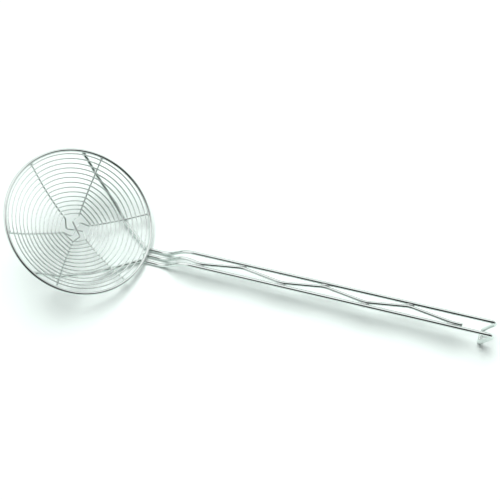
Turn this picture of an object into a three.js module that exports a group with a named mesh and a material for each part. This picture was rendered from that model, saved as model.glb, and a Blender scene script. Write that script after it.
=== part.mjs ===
// Wire skimmer: a shallow round basket of spiral wire on six spokes inside a rim ring, carried by
// one long hairpin of rod whose two ends run under the basket and whose closed end is the hook.
// A zig-zag brace wire lies between the two rods. All wires are welded together, nothing moves.
// Millimetres, +Z up. The part lies on a table at z = 0, on the low run of its two rods and on the
// bar of its hook, with the handle along +X and the basket tipped towards the handle.
import * as THREE from 'three';

// Basket
const RIM_OUTER_DIAMETER = 160;
const RIM_WIRE = 3.6;
const RIM_TILT = 30;
const BOWL_DEPTH = 25;
const HUB_SHIFT_X = 3.0;
const HUB_SHIFT_Y = 0.5;

// Spoke wires: each runs from rim to rim and makes a Z at the hub.
// Angles are where each end meets the rim, in degrees from the handle.
const SPOKE_WIRE = 2.0;
const SPOKE_PAIRS = [
  { name: 'spoke_wire_low', ends: [153.8, 330.8], level: -1 },
  { name: 'spoke_wire_middle', ends: [217.0, 33.5], level: 0 },
  { name: 'spoke_wire_top', ends: [92.8, 273.0], level: 1 },
];
const KINK_RADIUS = 15.0;
const KINK_TURN = 6;
const CORNER_RADIUS = 9.5;
const CORNER_TURN = 46;
const KINK_BEND = 3.0;
const CORNER_BEND = 2.5;

// Spiral web wire, laid on the spokes from the hub out to the rim
const WEB_WIRE = 1.4;
const WEB_TURNS = 14;
const WEB_START_RADIUS = 15.1;
const WEB_START_SPOKE = 217.0;
const WEB_STRAIGHT_AT_HUB = 0.75;
const WEB_ROUND_FROM_RADIUS = 55;

// Handle: two rods of one hairpin
const ROD_WIRE = 4.0;
const ROD_SPACING = 14.6;
const STRUT_END_ANGLE = 108.5;
const STRUT_SEAT_LENGTH = 5.0;
const STRUT_KNEE_ANGLE = 75.6;
const STRUT_KNEE_INSET = 20.5;
const STRUT_BEND = 12.0;
const RIM_BEND_INSET = 3.7;
const RIM_BEND = 10.0;
const LOW_RUN = 21.8;
const CRANK_RUN = 21.5;
const HANDLE_STEP = 16.6;
const CRANK_BEND = 26.0;
const HANDLE_RUN = 325.6;
const HOOK_BEND = 4.0;
const HOOK_DROP = 24.0;
const HOOK_RETURN = 14.4;
const HOOK_CORNER_BEND = 4.5;

// Zig-zag brace wire between the rods
const BRACE_WIRE = 3.5;
const BRACE_START_INSET = 4.7;
const BRACE_FIRST_TOUCH = 19.0;
const BRACE_HALF_WAVE = 43.75;
const BRACE_TOUCHES = 7;
const BRACE_TAIL = 11.0;
const BRACE_BEND = 25.0;

// Space left where one wire is seated on another
const SEAT_GAP = 0.3;
const STRUT_GAP = 0.5;

// Fineness of the faceted wires
const ROD_SIDES = 8;
const SPOKE_SIDES = 8;
const WEB_SIDES = 6;
const RIM_STEPS = 72;
const ARM_STEPS = 8;
const WEB_STEPS_PER_SECTOR = 4;
const BEND_STEP = THREE.MathUtils.degToRad(20);

// Sizes that follow from the ones above
const rimRadius = (RIM_OUTER_DIAMETER - RIM_WIRE) / 2;
const tilt = THREE.MathUtils.degToRad(RIM_TILT);
const rodSide = ROD_SPACING / 2;
const hub = new THREE.Vector2(HUB_SHIFT_X, HUB_SHIFT_Y);
const webLift = SPOKE_WIRE / 2 + WEB_WIRE / 2 + SEAT_GAP;
const spokeLayer = SPOKE_WIRE + SEAT_GAP;

/** Radius of the corners of a many-sided wire that holds as much steel as the round one. */
function cornerRadius(diameter, sides) {
  return (diameter / 2) * Math.sqrt((2 * Math.PI) / (sides * Math.sin((2 * Math.PI) / sides)));
}

/** Distance from the middle of a many-sided wire to one of its flats. */
function flatRadius(diameter, sides) {
  return cornerRadius(diameter, sides) * Math.cos(Math.PI / sides);
}

/** Point at a distance and an angle in degrees from a middle point in plan. */
function polar(middle, radius, degrees) {
  const angle = THREE.MathUtils.degToRad(degrees);
  return new THREE.Vector2(middle.x + radius * Math.cos(angle), middle.y + radius * Math.sin(angle));
}

/** Share of the way from hub to rim at a plan point. Rings of equal share drift to the hub. */
function bowlShare(x, y) {
  const from = new THREE.Vector2(x, y).sub(hub);
  const lean = from.dot(hub);
  const span = rimRadius * rimRadius - hub.lengthSq();
  return (lean + Math.sqrt(lean * lean + span * from.lengthSq())) / span;
}

/** Height of the spokes' middle lines below the rim at a share of the way from hub to rim. */
function bowlHeight(share) {
  return -BOWL_DEPTH * (1 - share * share);
}

/** Slope of the bowl at a share of the way from hub to rim. */
function bowlSlope(share) {
  return (2 * BOWL_DEPTH * share) / rimRadius;
}

/** Plan point on the bowl's ring of a given share, at an angle in degrees. */
function ringPoint(share, degrees) {
  return polar(hub.clone().multiplyScalar(1 - share), rimRadius * share, degrees);
}

/** Path through the corners, with each inner corner turned into an arc of its bend radius. */
function bentPath(corners, bends) {
  const path = [corners[0].clone()];
  for (let i = 1; i < corners.length - 1; i += 1) {
    const here = corners[i];
    const back = corners[i - 1].clone().sub(here);
    const ahead = corners[i + 1].clone().sub(here);
    const turn = Math.PI - back.angleTo(ahead);
    if (bends[i] === 0 || turn < 0.005) {
      path.push(here.clone());
      continue;
    }
    const room = 0.48 * Math.min(back.length(), ahead.length());
    const reach = Math.min(bends[i] * Math.tan(turn / 2), room);
    const radius = reach / Math.tan(turn / 2);
    back.normalize();
    ahead.normalize();
    const inward = back.clone().add(ahead).normalize();
    const centre = here.clone().addScaledVector(inward, radius / Math.cos(turn / 2));
    const first = here.clone().addScaledVector(back, reach).sub(centre);
    const last = here.clone().addScaledVector(ahead, reach).sub(centre);
    const steps = Math.max(1, Math.ceil(turn / BEND_STEP));
    for (let s = 0; s <= steps; s += 1) {
      const a = Math.sin((1 - s / steps) * turn) / Math.sin(turn);
      const b = Math.sin((s / steps) * turn) / Math.sin(turn);
      path.push(centre.clone().addScaledVector(first, a).addScaledVector(last, b));
    }
  }
  path.push(corners[corners.length - 1].clone());
  return path;
}

/**
 * Closed wire along a path: straight prisms that meet in mitres, with flat ends.
 * One flat of the run that starts at path[seed] looks towards the facing vector.
 */
function wireGeometry(path, diameter, sides, facing, seed = 0) {
  const along = path.slice(0, -1).map((p, i) => path[i + 1].clone().sub(p).normalize());
  const mitre = path.map((p, i) => {
    const before = along[i - 1] ?? along[i];
    const after = along[i] ?? along[i - 1];
    return before.clone().add(after).normalize();
  });
  const slide = (ring, direction, i) => ring.map((p) => {
    const way = path[i].clone().sub(p).dot(mitre[i]) / direction.dot(mitre[i]);
    return p.clone().addScaledVector(direction, way);
  });
  const run = along[seed];
  const u = facing.clone().addScaledVector(run, -facing.dot(run)).normalize();
  const v = run.clone().cross(u);
  const radius = cornerRadius(diameter, sides);
  const across = Array.from({ length: sides }, (_, k) => {
    const angle = ((k + 0.5) * 2 * Math.PI) / sides;
    const p = path[seed].clone().addScaledVector(u, radius * Math.cos(angle));
    return p.addScaledVector(v, radius * Math.sin(angle));
  });
  const rings = [];
  rings[seed] = slide(across, run, seed);
  for (let i = seed + 1; i < path.length; i += 1) {
    rings[i] = slide(rings[i - 1], along[i - 1], i);
  }
  for (let i = seed - 1; i >= 0; i -= 1) {
    rings[i] = slide(rings[i + 1], along[i], i);
  }

  const index = [];
  for (let i = 0; i < path.length - 1; i += 1) {
    for (let k = 0; k < sides; k += 1) {
      const a = i * sides + k;
      const b = i * sides + ((k + 1) % sides);
      index.push(a, b, b + sides, a, b + sides, a + sides);
    }
  }
  const end = (path.length - 1) * sides;
  for (let k = 1; k < sides - 1; k += 1) {
    index.push(0, k + 1, k);
    index.push(end, end + k, end + k + 1);
  }
  const corners = rings.flat().flatMap((p) => p.toArray());
  const geometry = new THREE.BufferGeometry();
  geometry.setAttribute('position', new THREE.Float32BufferAttribute(corners, 3));
  geometry.setIndex(index);
  geometry.computeVertexNormals();
  return geometry;
}

/** Bright drawn steel wire. */
function wireMaterial(name, roughness) {
  const material = new THREE.MeshStandardMaterial({ color: 0xd7dddb, roughness, metalness: 1.0 });
  material.name = name;
  return material;
}

const heavyWire = wireMaterial('heavy_wire', 0.22);
const fineWire = wireMaterial('fine_wire', 0.28);

/** Named mesh of one wire. */
function wire(name, geometry, material) {
  const mesh = new THREE.Mesh(geometry, material);
  mesh.name = name;
  return mesh;
}

// Spoke arms, in plan: a straight run from the rim in to the kink beside the hub
const spokeSlopeAtRim = Math.atan(bowlSlope(1));
const spokeEndRadius = rimRadius
  - (cornerRadius(RIM_WIRE, ROD_SIDES) + SEAT_GAP) * Math.cos(spokeSlopeAtRim);

/** Both ends of a spoke arm in plan. */
function armEnds(degrees) {
  return {
    outer: polar(new THREE.Vector2(), spokeEndRadius, degrees),
    kink: polar(hub, KINK_RADIUS, degrees + KINK_TURN),
    corner: polar(hub, CORNER_RADIUS, degrees + CORNER_TURN),
  };
}

/** Plan point where a spoke arm crosses the bowl's ring of a given share. */
function armPoint(degrees, share) {
  const { outer, kink } = armEnds(degrees);
  let low = -0.5;
  let high = 1.5;
  for (let i = 0; i < 40; i += 1) {
    const middle = (low + high) / 2;
    const p = kink.clone().lerp(outer, middle);
    if (bowlShare(p.x, p.y) < share) {
      low = middle;
    } else {
      high = middle;
    }
  }
  return kink.clone().lerp(outer, (low + high) / 2);
}

/** Point of a spoke's middle line over a plan point, raised by a height. */
function onBowl(p, raise = 0) {
  return new THREE.Vector3(p.x, p.y, bowlHeight(bowlShare(p.x, p.y)) + raise);
}

/** Path of one spoke wire from rim to rim, with its Z at the hub. */
function spokePath(ends, level) {
  const corners = [];
  const bends = [];
  const halves = ends.map((degrees) => {
    const { outer, kink, corner } = armEnds(degrees);
    const half = [];
    for (let i = 0; i < ARM_STEPS; i += 1) {
      half.push([onBowl(outer.clone().lerp(kink, i / ARM_STEPS)), 0]);
    }
    half.push([onBowl(kink), KINK_BEND]);
    half.push([onBowl(corner), CORNER_BEND]);
    half[half.length - 1][0].z = bowlHeight(0) + level * spokeLayer;
    return half;
  });
  [...halves[0], ...halves[1].reverse()].forEach(([point, bend]) => {
    corners.push(point);
    bends.push(bend);
  });
  return bentPath(corners, bends);
}

/** Path of the spiral web wire, crossing each spoke in turn on its way out to the rim. */
function webPath() {
  const order = SPOKE_PAIRS.flatMap((pair) => pair.ends)
    .map((degrees) => (degrees - WEB_START_SPOKE + 360) % 360)
    .sort((a, b) => a - b)
    .map((turned) => turned + WEB_START_SPOKE);
  const slopeAtRim = Math.atan(bowlSlope(1));
  const endRadius = rimRadius - (cornerRadius(RIM_WIRE, ROD_SIDES) + WEB_WIRE / 2 + SEAT_GAP)
    + webLift * Math.sin(slopeAtRim);
  const crossings = WEB_TURNS * order.length;
  const first = WEB_START_RADIUS / rimRadius;
  const step = (endRadius / rimRadius - first) / crossings;
  const crossing = (m) => {
    const share = first + step * m;
    const p = armPoint(order[m % order.length], share);
    const middle = hub.clone().multiplyScalar(1 - share);
    const angle = THREE.MathUtils.radToDeg(Math.atan2(p.y - middle.y, p.x - middle.x));
    return { share, p, angle };
  };
  const roundRun = WEB_ROUND_FROM_RADIUS - WEB_START_RADIUS;
  const path = [];
  for (let m = 0; m < crossings; m += 1) {
    const from = crossing(m);
    const to = crossing(m + 1);
    const sweep = (to.angle - from.angle + 720) % 360;
    const lastStep = m === crossings - 1 ? WEB_STEPS_PER_SECTOR : WEB_STEPS_PER_SECTOR - 1;
    for (let s = 0; s <= lastStep; s += 1) {
      const t = s / WEB_STEPS_PER_SECTOR;
      const share = from.share + (to.share - from.share) * t;
      const outward = (share * rimRadius - WEB_START_RADIUS) / roundRun;
      const straight = WEB_STRAIGHT_AT_HUB * Math.max(0, 1 - outward);
      const round = ringPoint(share, from.angle + sweep * t);
      const p = round.lerp(from.p.clone().lerp(to.p, t), straight);
      const slope = Math.atan(bowlSlope(share));
      const inward = hub.clone().multiplyScalar(1 - share).sub(p).normalize();
      p.addScaledVector(inward, webLift * Math.sin(slope));
      path.push(new THREE.Vector3(p.x, p.y, bowlHeight(share) + webLift * Math.cos(slope)));
    }
  }
  return path;
}

/** Least space between two turns of a wire that winds around itself. */
function leastGap(path, diameter, apart) {
  let least = Infinity;
  for (let i = 0; i < path.length; i += 1) {
    for (let j = i + apart; j < path.length; j += 1) {
      least = Math.min(least, path[i].distanceTo(path[j]) - diameter);
    }
  }
  return least;
}

// The rods run level on the table where they pass under the rim, and carry the basket there
const rodLow = flatRadius(ROD_WIRE, ROD_SIDES);
const barHeight = cornerRadius(ROD_WIRE, ROD_SIDES);
const rimUnderRods = Math.sin(tilt) * Math.sqrt(rimRadius * rimRadius - rodSide * rodSide);
const rimHeight = rodLow + ROD_WIRE / 2 + RIM_WIRE / 2 + SEAT_GAP + rimUnderRods;
const handleLow = rodLow + HANDLE_STEP;
const handleHigh = rodLow + HOOK_DROP;

// Places along the handle, counted on from the rim
const rimX = Math.cos(tilt) * rimRadius;
const rimBendX = rimX - RIM_BEND_INSET;
const braceStartX = rimX - BRACE_START_INSET;
const crankFootX = rimX + LOW_RUN;
const crankTopX = crankFootX + CRANK_RUN;
const firstTouchX = crankTopX + BRACE_FIRST_TOUCH;
const handleEndX = crankTopX + HANDLE_RUN;

/** Height of the handle's rods at a distance along the handle. */
function handleHeight(x) {
  return handleLow + ((handleHigh - handleLow) * (x - crankTopX)) / HANDLE_RUN;
}

const basket = new THREE.Group();
basket.name = 'basket';
basket.rotation.y = tilt;
basket.position.z = rimHeight;
basket.updateMatrixWorld(true);

/** Plan point where the line between two points crosses a spoke arm. */
function crossArm(a, b, degrees) {
  const { outer, kink } = armEnds(degrees);
  const arm = outer.clone().sub(kink);
  const way = b.clone().sub(a);
  const t = kink.clone().sub(a).cross(arm) / way.cross(arm);
  return a.clone().addScaledVector(way, t);
}

/** Corners of one rod's run under the basket, from the far rim in to the rim at the handle. */
function strutCorners(side) {
  const spokes = SPOKE_PAIRS.flatMap((pair) => pair.ends)
    .map((degrees) => (side * degrees + 720) % 360)
    .filter((degrees) => degrees < STRUT_END_ANGLE)
    .sort((a, b) => b - a);
  const centre = new THREE.Vector2();
  const end = polar(centre, rimRadius, side * STRUT_END_ANGLE);
  const knee = polar(centre, rimRadius - STRUT_KNEE_INSET, side * STRUT_KNEE_ANGLE);
  const rimBend = new THREE.Vector3(rimBendX, side * rodSide, rodLow);
  const rimBendInBasket = basket.worldToLocal(rimBend.clone());
  const atRim = new THREE.Vector2(rimBendInBasket.x, rimBendInBasket.y);
  const underRim = -(RIM_WIRE / 2 + ROD_WIRE / 2 + SEAT_GAP);
  const seat = end.clone().lerp(knee, STRUT_SEAT_LENGTH / end.distanceTo(knee));
  const under = (p, above) => {
    const share = bowlShare(p.x, p.y);
    const slope = Math.atan(bowlSlope(share));
    const down = (above + ROD_WIRE / 2 + STRUT_GAP) / Math.cos(slope);
    return new THREE.Vector3(p.x, p.y, bowlHeight(share) - down);
  };
  const belowWeb = Math.max(WEB_WIRE / 2 - webLift, 0);
  const beyondKnee = spokes.filter((degrees) => degrees > STRUT_KNEE_ANGLE)
    .map((degrees) => crossArm(end, knee, side * degrees));
  const beforeKnee = spokes.filter((degrees) => degrees <= STRUT_KNEE_ANGLE)
    .map((degrees) => crossArm(knee, atRim, side * degrees));
  const afterKnee = knee.clone().lerp(beforeKnee[0] ?? atRim, 0.5);
  const corners = [
    new THREE.Vector3(end.x, end.y, underRim),
    new THREE.Vector3(seat.x, seat.y, underRim),
    ...beyondKnee.map((p) => under(p, SPOKE_WIRE / 2)),
    under(afterKnee, belowWeb),
    ...beforeKnee.map((p) => under(p, SPOKE_WIRE / 2)),
  ];
  return [...corners.map((p) => basket.localToWorld(p)), rimBend];
}

/** Corners and bends of one rod from the far rim to the bar of the hook. */
function rodCorners(side) {
  const strut = strutCorners(side);
  const y = side * rodSide;
  const corners = [
    ...strut,
    new THREE.Vector3(crankFootX, y, rodLow),
    new THREE.Vector3(crankTopX, y, handleLow),
    new THREE.Vector3(handleEndX, y, handleHigh),
    new THREE.Vector3(handleEndX - HOOK_RETURN, y, barHeight),
  ];
  const bends = [
    ...strut.map((_, i) => (i === strut.length - 1 ? RIM_BEND : STRUT_BEND)),
    CRANK_BEND, CRANK_BEND, HOOK_BEND, HOOK_CORNER_BEND,
  ];
  return { corners, bends };
}

/** Path of the whole hairpin, from one far rim seat round the hook to the other. */
function hairpinPath() {
  const left = rodCorners(1);
  const right = rodCorners(-1);
  return bentPath(
    [...left.corners, ...right.corners.reverse()],
    [...left.bends, ...right.bends.reverse()],
  );
}

/** Path of the zig-zag brace wire, from under the rim to its tail beside one rod. */
function bracePath() {
  const swing = rodSide - (ROD_WIRE / 2 + BRACE_WIRE / 2 + SEAT_GAP);
  const rimBottom = rimHeight - Math.sin(tilt) * rimRadius - RIM_WIRE / 2;
  const low = rimBottom - SEAT_GAP - BRACE_WIRE / 2;
  const corners = [
    new THREE.Vector3(braceStartX, 0, low),
    new THREE.Vector3(crankFootX, 0, low),
    new THREE.Vector3(crankTopX, 0, handleLow),
  ];
  for (let i = 0; i < BRACE_TOUCHES; i += 1) {
    const x = firstTouchX + i * BRACE_HALF_WAVE;
    corners.push(new THREE.Vector3(x, i % 2 === 0 ? -swing : swing, handleHeight(x)));
  }
  const last = corners[corners.length - 1];
  const tailX = last.x + BRACE_TAIL;
  corners.push(new THREE.Vector3(tailX, last.y, handleHeight(tailX)));
  const bends = corners.map((_, i) => (i < 3 ? CRANK_BEND : BRACE_BEND));
  return bentPath(corners, bends);
}

const up = new THREE.Vector3(0, 0, 1);
const down = new THREE.Vector3(0, 0, -1);

const rimCorner = cornerRadius(RIM_WIRE, ROD_SIDES);
const rim = new THREE.TorusGeometry(rimRadius, rimCorner, ROD_SIDES, RIM_STEPS);
basket.add(wire('rim_ring', rim, heavyWire));

SPOKE_PAIRS.forEach(({ name, ends, level }) => {
  const spoke = wireGeometry(spokePath(ends, level), SPOKE_WIRE, SPOKE_SIDES, up);
  basket.add(wire(name, spoke, fineWire));
});

const web = webPath();
basket.add(wire('spiral_web_wire', wireGeometry(web, WEB_WIRE, WEB_SIDES, up), fineWire));
const sectors = SPOKE_PAIRS.length * 2;
const halfTurn = Math.floor((sectors * WEB_STEPS_PER_SECTOR) / 2);
const webGap = leastGap(web, WEB_WIRE, halfTurn);
console.log(`least gap between turns of the spiral wire: ${webGap.toFixed(2)} mm`);

const handle = new THREE.Group();
handle.name = 'handle';
const hairpin = hairpinPath();
const lowRun = hairpin.findIndex((p, i) => i > 0 && Math.abs(p.z - rodLow) < 1e-9
  && Math.abs(hairpin[i + 1].z - rodLow) < 1e-9 && hairpin[i + 1].x - p.x > 1);
const rods = wireGeometry(hairpin, ROD_WIRE, ROD_SIDES, down, lowRun);
handle.add(wire('handle_hairpin_rod', rods, heavyWire));
const brace = wireGeometry(bracePath(), BRACE_WIRE, ROD_SIDES, down);
handle.add(wire('handle_brace_wire', brace, heavyWire));

// The whole part, with its origin under the middle of its outline
const part = new THREE.Group();
part.name = 'skimmer';
part.add(basket, handle);
const outline = new THREE.Box3().setFromObject(part, true);
part.position.x = -(outline.min.x + outline.max.x) / 2;
part.position.y = -(outline.min.y + outline.max.y) / 2;
part.position.z = -outline.min.z;
part.updateMatrixWorld(true);

export default part;
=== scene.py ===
"""Looks of a wire skimmer: round bright wires, weld beads, a pale floor and soft studio light.

Everything is in metres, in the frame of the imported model: the handle runs along +X, the table is
at z = 0, and the basket is tipped towards the handle.
"""

import logging
import math
from abc import ABC, abstractmethod
from dataclasses import dataclass, field
from enum import Enum
from types import MappingProxyType
from typing import Any, Mapping, Sequence, Union

import bpy
from mathutils import Matrix, Vector


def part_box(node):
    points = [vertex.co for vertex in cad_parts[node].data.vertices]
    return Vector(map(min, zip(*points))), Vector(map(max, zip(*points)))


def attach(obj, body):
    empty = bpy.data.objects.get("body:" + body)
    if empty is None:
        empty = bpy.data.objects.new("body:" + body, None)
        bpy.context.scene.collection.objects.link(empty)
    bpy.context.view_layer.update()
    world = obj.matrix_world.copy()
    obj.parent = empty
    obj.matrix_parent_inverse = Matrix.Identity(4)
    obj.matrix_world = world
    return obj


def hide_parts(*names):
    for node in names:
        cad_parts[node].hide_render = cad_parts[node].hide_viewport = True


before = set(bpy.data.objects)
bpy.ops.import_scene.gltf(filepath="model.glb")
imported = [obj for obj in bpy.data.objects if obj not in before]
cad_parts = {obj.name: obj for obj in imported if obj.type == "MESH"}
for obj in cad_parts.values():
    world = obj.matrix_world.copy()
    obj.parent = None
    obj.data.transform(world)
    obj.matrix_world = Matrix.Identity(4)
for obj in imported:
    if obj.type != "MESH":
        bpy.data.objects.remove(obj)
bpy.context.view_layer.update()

LOG = logging.getLogger("skimmer")
BODY = "root"
NOTHING: Mapping[Any, Any] = MappingProxyType({})
GRAIN = "drawn_grain"
JOINT = "joint_nearness"

Plan = Vector
Span = tuple[float, float]
Triple = tuple[float, float, float]
Colour = Triple
Shares = Triple

MIDDLE = Vector((0.0, 0.0))
ALONG_HANDLE = Vector((1.0, 0.0, 0.0))
UP = Vector((0.0, 0.0, 1.0))

# Turns under this, in radians, stay a corner.
STRAIGHT_TURN = 0.005
# Share of a straight run that the bend at one end of it may take up.
BEND_ROOM = 0.48


class Slot(Enum):
    """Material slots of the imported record."""

    HEAVY_WIRE = "heavy_wire"
    FINE_WIRE = "fine_wire"


class Level(Enum):
    """Place of a spoke wire in the stack of three at the hub."""

    LOW = -1
    MIDDLE = 0
    TOP = 1


class Side(Enum):
    """Side of the handle, as the sign of y."""

    LEFT = 1
    RIGHT = -1


class BeadSize(Enum):
    """Size of the beads in a set, as how often their faces are divided."""

    SMALL = 2
    LARGE = 3


class Value:
    """A number socket of a node tree that takes part in Python expressions."""

    def __init__(self, graph: "Graph", socket: bpy.types.NodeSocket) -> None:
        """Keeps the socket and the graph that it belongs to."""
        self.graph = graph
        self.socket = socket

    def __add__(self, other: "Number") -> "Value":
        """Sum of the two."""
        return self.graph.math("ADD", self, other)

    def __radd__(self, other: "Number") -> "Value":
        """Sum of the two."""
        return self.graph.math("ADD", other, self)

    def __sub__(self, other: "Number") -> "Value":
        """This less the other."""
        return self.graph.math("SUBTRACT", self, other)

    def __rsub__(self, other: "Number") -> "Value":
        """The other less this."""
        return self.graph.math("SUBTRACT", other, self)

    def __mul__(self, other: "Number") -> "Value":
        """Product of the two."""
        return self.graph.math("MULTIPLY", self, other)

    def __rmul__(self, other: "Number") -> "Value":
        """Product of the two."""
        return self.graph.math("MULTIPLY", other, self)

    def __truediv__(self, other: "Number") -> "Value":
        """This over the other."""
        return self.graph.math("DIVIDE", self, other)

    def __rtruediv__(self, other: "Number") -> "Value":
        """The other over this."""
        return self.graph.math("DIVIDE", other, self)

    def smooth(self, low: float, high: float) -> "Value":
        """Soft step from 0 at low to 1 at high.

        Args:
            low: value at which the step starts.
            high: value at which the step ends; it may be less than low.

        Returns:
            The step as a value from 0 to 1.
        """
        sockets = {"Value": self, "From Min": low, "From Max": high}
        settings = {"interpolation_type": "SMOOTHSTEP"}
        return self.graph.value("ShaderNodeMapRange", settings, sockets, "Result")


Number = Union[Value, float]


class Graph:
    """A node tree that is written as calls and expressions."""

    def __init__(self, tree: bpy.types.NodeTree) -> None:
        """Keeps the tree."""
        self.tree = tree

    @staticmethod
    def pick(sockets: Sequence[bpy.types.NodeSocket], key: Union[str, int]) -> bpy.types.NodeSocket:
        """Finds a socket in use.

        Args:
            sockets: the inputs or outputs of a node.
            key: the socket's name, identifier or place.

        Returns:
            The socket.
        """
        if isinstance(key, int):
            return sockets[key]
        return next(s for s in sockets if s.enabled and key in (s.name, s.identifier))

    def node(
        self,
        kind: str,
        settings: Mapping[str, Any] = NOTHING,
        sockets: Mapping[Union[str, int], Any] = NOTHING,
    ) -> bpy.types.Node:
        """Adds a node.

        Args:
            kind: the node's type.
            settings: its own settings, which are set first.
            sockets: a value or a link for each input that isn't left at its default.

        Returns:
            The new node.
        """
        node = self.tree.nodes.new(kind)
        for name, setting in settings.items():
            setattr(node, name, setting)
        for key, source in sockets.items():
            target = self.pick(node.inputs, key)
            if isinstance(source, Value):
                self.tree.links.new(source.socket, target)
            else:
                target.default_value = source
        return node

    def value(
        self,
        kind: str,
        settings: Mapping[str, Any] = NOTHING,
        sockets: Mapping[Union[str, int], Any] = NOTHING,
        output: Union[str, int] = 0,
    ) -> Value:
        """Adds a node and gives one of its outputs.

        Args:
            kind: the node's type.
            settings: its own settings.
            sockets: values or links of its inputs.
            output: name or place of the output.

        Returns:
            The output as a value.
        """
        node = self.node(kind, settings, sockets)
        return Value(self, self.pick(node.outputs, output))

    def math(self, operation: str, *operands: Number) -> Value:
        """Result of a Math node on one or two numbers."""
        return self.value("ShaderNodeMath", {"operation": operation}, dict(enumerate(operands)))


class GeometryTree(Graph):
    """A Geometry Nodes tree with named sizes, which turns a plain object into a finished mesh."""

    def __init__(self, name: str, sizes: Mapping[str, str]) -> None:
        """Starts a tree.

        Args:
            name: the tree's name.
            sizes: socket type of each named input.
        """
        super().__init__(bpy.data.node_groups.new(name, "GeometryNodeTree"))
        face = self.tree.interface
        face.new_socket("Geometry", in_out="INPUT", socket_type="NodeSocketGeometry")
        for label, kind in sizes.items():
            face.new_socket(label, in_out="INPUT", socket_type=kind)
        face.new_socket("Geometry", in_out="OUTPUT", socket_type="NodeSocketGeometry")
        self.entry = self.node("NodeGroupInput")

    def size(self, label: str) -> Value:
        """Named input of the tree."""
        return Value(self, self.pick(self.entry.outputs, label))

    def close(self, geometry: Value) -> None:
        """Ends the tree in real faces with the material of the Material input.

        Args:
            geometry: what the tree has made.
        """
        smooth = self.value("GeometryNodeSetShadeSmooth", {}, {"Geometry": geometry})
        real = self.value("GeometryNodeRealizeInstances", {}, {"Geometry": smooth})
        sockets = {"Geometry": real, "Material": self.size("Material")}
        dressed = self.value("GeometryNodeSetMaterial", {}, sockets)
        self.node("NodeGroupOutput", {}, {"Geometry": dressed})

    def finish(
        self,
        name: str,
        points: Sequence[Vector],
        edges: Sequence[tuple[int, int]],
        columns: Mapping[str, Sequence[Any]],
        values: Mapping[str, Any],
    ) -> bpy.types.Object:
        """Runs the tree on points and keeps the result as a plain mesh.

        Args:
            name: name of the finished piece.
            points: the points.
            edges: which points are joined.
            columns: named lists of the numbers or the vectors that the points carry.
            values: a value for each named input.

        Returns:
            The finished piece, at the origin.
        """
        start = bpy.data.meshes.new(f"{name}_points")
        start.from_pydata(points, edges, [])
        for label, column in columns.items():
            if isinstance(column[0], Vector):
                flat = [number for vector in column for number in vector]
                start.attributes.new(label, "FLOAT_VECTOR", "POINT").data.foreach_set("vector", flat)
            else:
                start.attributes.new(label, "FLOAT", "POINT").data.foreach_set("value", column)
        source = bpy.data.objects.new(f"{name}_points", start)
        bpy.context.collection.objects.link(source)
        modifier = source.modifiers.new(self.tree.name, "NODES")
        modifier.node_group = self.tree
        for item in self.tree.interface.items_tree:
            if item.in_out == "INPUT" and item.name in values:
                modifier[item.identifier] = values[item.name]
        graph = bpy.context.evaluated_depsgraph_get()
        mesh = bpy.data.meshes.new_from_object(source.evaluated_get(graph), depsgraph=graph)
        source.modifiers.remove(modifier)
        bpy.data.objects.remove(source)
        bpy.data.meshes.remove(start)
        mesh.name = name
        piece = bpy.data.objects.new(name, mesh)
        bpy.context.collection.objects.link(piece)
        return piece


def bare_graph(owner: Union[bpy.types.Material, bpy.types.World]) -> Graph:
    """Empties the nodes of a material or a world.

    Args:
        owner: the material or the world.

    Returns:
        Its graph, with no nodes yet.
    """
    owner.use_nodes = True
    owner.node_tree.nodes.clear()
    return Graph(owner.node_tree)


@dataclass(frozen=True)
class Finish(ABC):
    """Metal whose colour goes from bright to dull, with a fine relief."""

    name: str
    bright: Colour
    dull: Colour

    @abstractmethod
    def pattern(self, graph: Graph) -> tuple[Value, Value, Mapping[str, Any]]:
        """Works out what changes over the surface.

        Args:
            graph: the graph that the nodes go in.

        Returns:
            How dull the metal is, its roughness, and the inputs of its Bump node.
        """

    def material(self) -> bpy.types.Material:
        """Builds the finish.

        Returns:
            The material, with its nodes.
        """
        material = bpy.data.materials.new(self.name)
        graph = bare_graph(material)
        tone, roughness, relief = self.pattern(graph)
        colours = {"Factor": tone, "A": (*self.bright, 1.0), "B": (*self.dull, 1.0)}
        surface = {
            "Base Color": graph.value("ShaderNodeMix", {"data_type": "RGBA"}, colours, "Result"),
            "Metallic": 1.0,
            "Roughness": roughness,
            "Normal": graph.value("ShaderNodeBump", {}, relief, "Normal"),
        }
        shader = graph.value("ShaderNodeBsdfPrincipled", {}, surface, "BSDF")
        graph.node("ShaderNodeOutputMaterial", {}, {"Surface": shader})
        return material


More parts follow.
